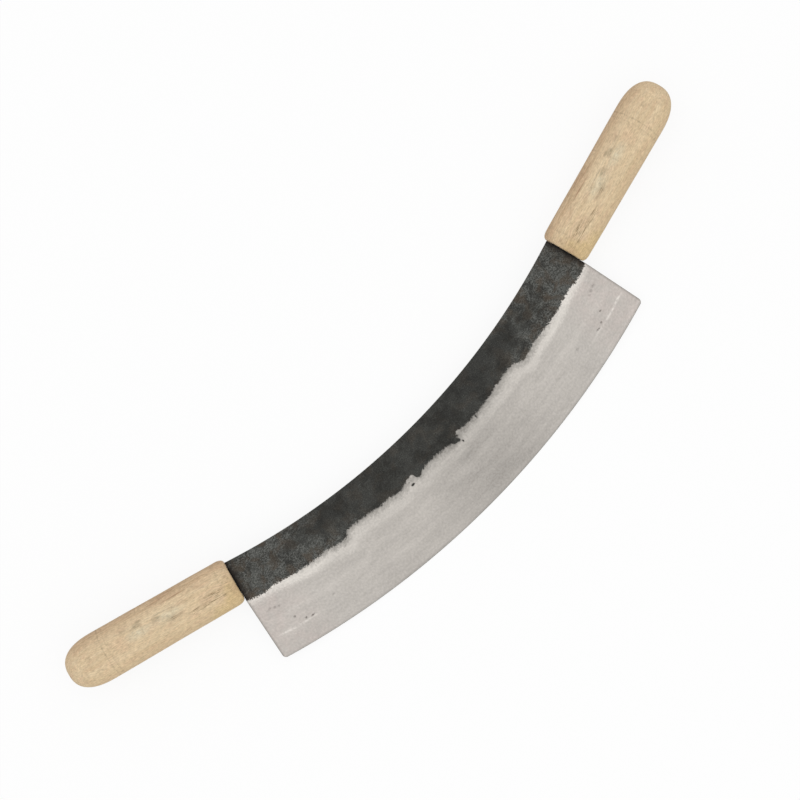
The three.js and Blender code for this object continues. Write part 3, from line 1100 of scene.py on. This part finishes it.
def resin_material(finish):
    """Dark resin that set with ripples and a few dull spots."""
    material, tree, shader = new_material("Tang resin")
    spot = add(tree, "ShaderNodeTexCoord", "Object")
    ripple = noise(spot, 420.0, 4.0, 0.6)
    colour = shade(mix(ripple, finish.resin, finish.blackening), 1.2 - ripple * 0.4)
    feed(shader.inputs["Base Color"], colour)
    feed(shader.inputs["Roughness"], ripple * 0.4 + 0.4)
    shader.inputs["Specular IOR Level"].default_value = 0.25
    bump(shader, ripple, 0.2 * MM)
    return material


# Stage


def look_along(place, settings):
    """A camera straight above the blade's flat, turned so that the knife crosses the picture aslant."""
    camera = bpy.data.cameras.new("Photograph")
    camera.lens = camera.sensor_width * settings.view_distance / settings.view_width
    viewer = bpy.data.objects.new("Photograph", camera)
    bpy.context.scene.collection.objects.link(viewer)
    aim = Matrix.Translation((settings.view_along, settings.view_rise, settings.view_distance))
    viewer.matrix_world = place @ aim @ Matrix.Rotation(-QUARTER_TURN / 2, 4, "Z")
    bpy.context.scene.camera = viewer


def seen_rays(tree):
    """1 on rays that show a surface, straight or by a reflection, and 0 on rays that light it."""
    path = tree.nodes.new("ShaderNodeLightPath")
    seen = Field(tree, path.outputs["Is Camera Ray"])
    seen = seen.most(Field(tree, path.outputs["Is Glossy Ray"]))
    return seen.most(Field(tree, path.outputs["Is Transmission Ray"]))


def floor_material(settings):
    """A pale floor that shows white to the eye and in reflections, and still takes a soft shadow."""
    material, tree, shader = new_material("Pale floor")
    seen = seen_rays(tree)
    feed(shader.inputs["Base Color"], mix(seen, settings.floor, WHITE))
    shader.inputs["Roughness"].default_value = 0.9
    shader.inputs["Specular IOR Level"].default_value = 0.0
    glow = add(tree, "ShaderNodeEmission", Color=WHITE, Strength=1.0)
    blend = tree.nodes.new("ShaderNodeMixShader")
    feed(blend.inputs[0], seen * settings.floor_glow)
    tree.links.new(shader.outputs[0], blend.inputs[1])
    feed(blend.inputs[2], glow)
    tree.links.new(blend.outputs[0], tree.nodes["Material Output"].inputs["Surface"])
    return material


def lay_floor(settings):
    mesh = bpy.data.meshes.new("Floor")
    corners = [(x * FLOOR_HALF, y * FLOOR_HALF, 0) for x, y in ((-1, -1), (1, -1), (1, 1), (-1, 1))]
    mesh.from_pydata(corners, [], [(0, 1, 2, 3)])
    mesh.materials.append(floor_material(settings))
    floor = bpy.data.objects.new("Floor", mesh)
    bpy.context.scene.collection.objects.link(floor)


def light_sky(settings):
    """Even white light from all round, which shows as plain white to the eye and in reflections."""
    world = bpy.data.worlds.new("Studio")
    bpy.context.scene.world = world
    world.use_nodes = True
    tree = world.node_tree
    background = tree.nodes["Background"]
    background.inputs["Color"].default_value = (*WHITE, 1.0)
    feed(background.inputs["Strength"], seen_rays(tree).ramp(0, 1, settings.sky, 1.0))


def hang_lamp(settings):
    """A large soft lamp above the edge side, pointed at the knife."""
    lamp = bpy.data.lights.new("Key", "AREA")
    lamp.shape = "SQUARE"
    lamp.size = LAMP_WIDTH
    lamp.energy = settings.key
    holder = bpy.data.objects.new("Key", lamp)
    holder.location = LAMP_PLACE
    holder.rotation_euler = (-Vector(LAMP_PLACE)).to_track_quat("-Z", "Y").to_euler()
    bpy.context.scene.collection.objects.link(holder)


# Operators


class CLEAVER_OT_forge_blade(bpy.types.Operator):
    """Grow the forged blade with its two tangs, and give it its scale and ground face"""

    bl_idname = "cleaver.forge_blade"
    bl_label = "Forge the blade"

    def execute(self, context):
        scene = context.scene
        values = blade_values(scene.cleaver_blade, scene.cleaver_handle)
        values["Material"] = steel_material(scene.cleaver_finish)
        place = blade_place(scene.cleaver_blade)
        blade = grow("forged_blade", blade_tree(values), values, place)
        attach(blade, "root")
        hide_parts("blade")
        return {"FINISHED"}


class CLEAVER_OT_shape_handles(bpy.types.Operator):
    """Shape both wooden handles, each with the bore for its tang"""

    bl_idname = "cleaver.shape_handles"
    bl_label = "Shape the handles"

    def execute(self, context):
        scene = context.scene
        wood = wood_material(scene.cleaver_finish)
        tree = None
        for end, side in (("left", -1), ("right", 1)):
            values = handle_values(scene.cleaver_handle, side)
            values["Material"] = wood
            tree = tree or handle_tree(values)
            place = blade_place(scene.cleaver_blade)
            place = place @ handle_place(scene.cleaver_blade, scene.cleaver_handle, side)
            handle = grow(f"{end}_wood_handle", tree, values, place)
            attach(handle, "root")
            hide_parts(f"{end}_handle")
        return {"FINISHED"}


class CLEAVER_OT_pour_bedding(bpy.types.Operator):
    """Give the resin round the tangs its finish"""

    bl_idname = "cleaver.pour_bedding"
    bl_label = "Pour the bedding"

    def execute(self, context):
        resin = resin_material(context.scene.cleaver_finish)
        for end in ("left", "right"):
            bedding = frame["nodes"][f"{end}_tang_bedding"]
            bedding.data.materials.clear()
            bedding.data.materials.append(resin)
        return {"FINISHED"}


class CLEAVER_OT_set_stage(bpy.types.Operator):
    """Lay the pale floor, light it, hang the lamp and set up the camera"""

    bl_idname = "cleaver.set_stage"
    bl_label = "Set the stage"

    def execute(self, context):
        settings = context.scene.cleaver_stage
        context.scene.view_settings.view_transform = "Standard"
        lay_floor(settings)
        light_sky(settings)
        hang_lamp(settings)
        look_along(blade_place(context.scene.cleaver_blade), settings)
        return {"FINISHED"}


class CLEAVER_PT_panel(bpy.types.Panel):
    """Sizes, colours and building steps of the cleaver"""

    bl_idname = "CLEAVER_PT_panel"
    bl_label = "Kebab cleaver"
    bl_space_type = "VIEW_3D"
    bl_region_type = "UI"
    bl_category = "Cleaver"

    def draw(self, context):
        for step in STEPS:
            self.layout.operator(step.bl_idname)
        for name, group in GROUPS.items():
            box = self.layout.box()
            box.label(text=group.__name__)
            for label in group.__annotations__:
                box.prop(getattr(context.scene, name), label)


GROUPS = {
    "cleaver_blade": BladeSizes,
    "cleaver_handle": HandleSizes,
    "cleaver_finish": Finish,
    "cleaver_stage": StageSettings,
}
STEPS = (
    CLEAVER_OT_forge_blade,
    CLEAVER_OT_shape_handles,
    CLEAVER_OT_pour_bedding,
    CLEAVER_OT_set_stage,
)


def register():
    for name, group in GROUPS.items():
        bpy.utils.register_class(group)
        setattr(bpy.types.Scene, name, PointerProperty(type=group))
    for step in (*STEPS, CLEAVER_PT_panel):
        bpy.utils.register_class(step)


def unregister():
    for step in (CLEAVER_PT_panel, *reversed(STEPS)):
        bpy.utils.unregister_class(step)
    for name, group in reversed(GROUPS.items()):
        delattr(bpy.types.Scene, name)
        bpy.utils.unregister_class(group)


def main():
    register()
    bpy.ops.cleaver.forge_blade()
    bpy.ops.cleaver.shape_handles()
    bpy.ops.cleaver.pour_bedding()
    bpy.ops.cleaver.set_stage()


if __name__ == "__main__":
    main()
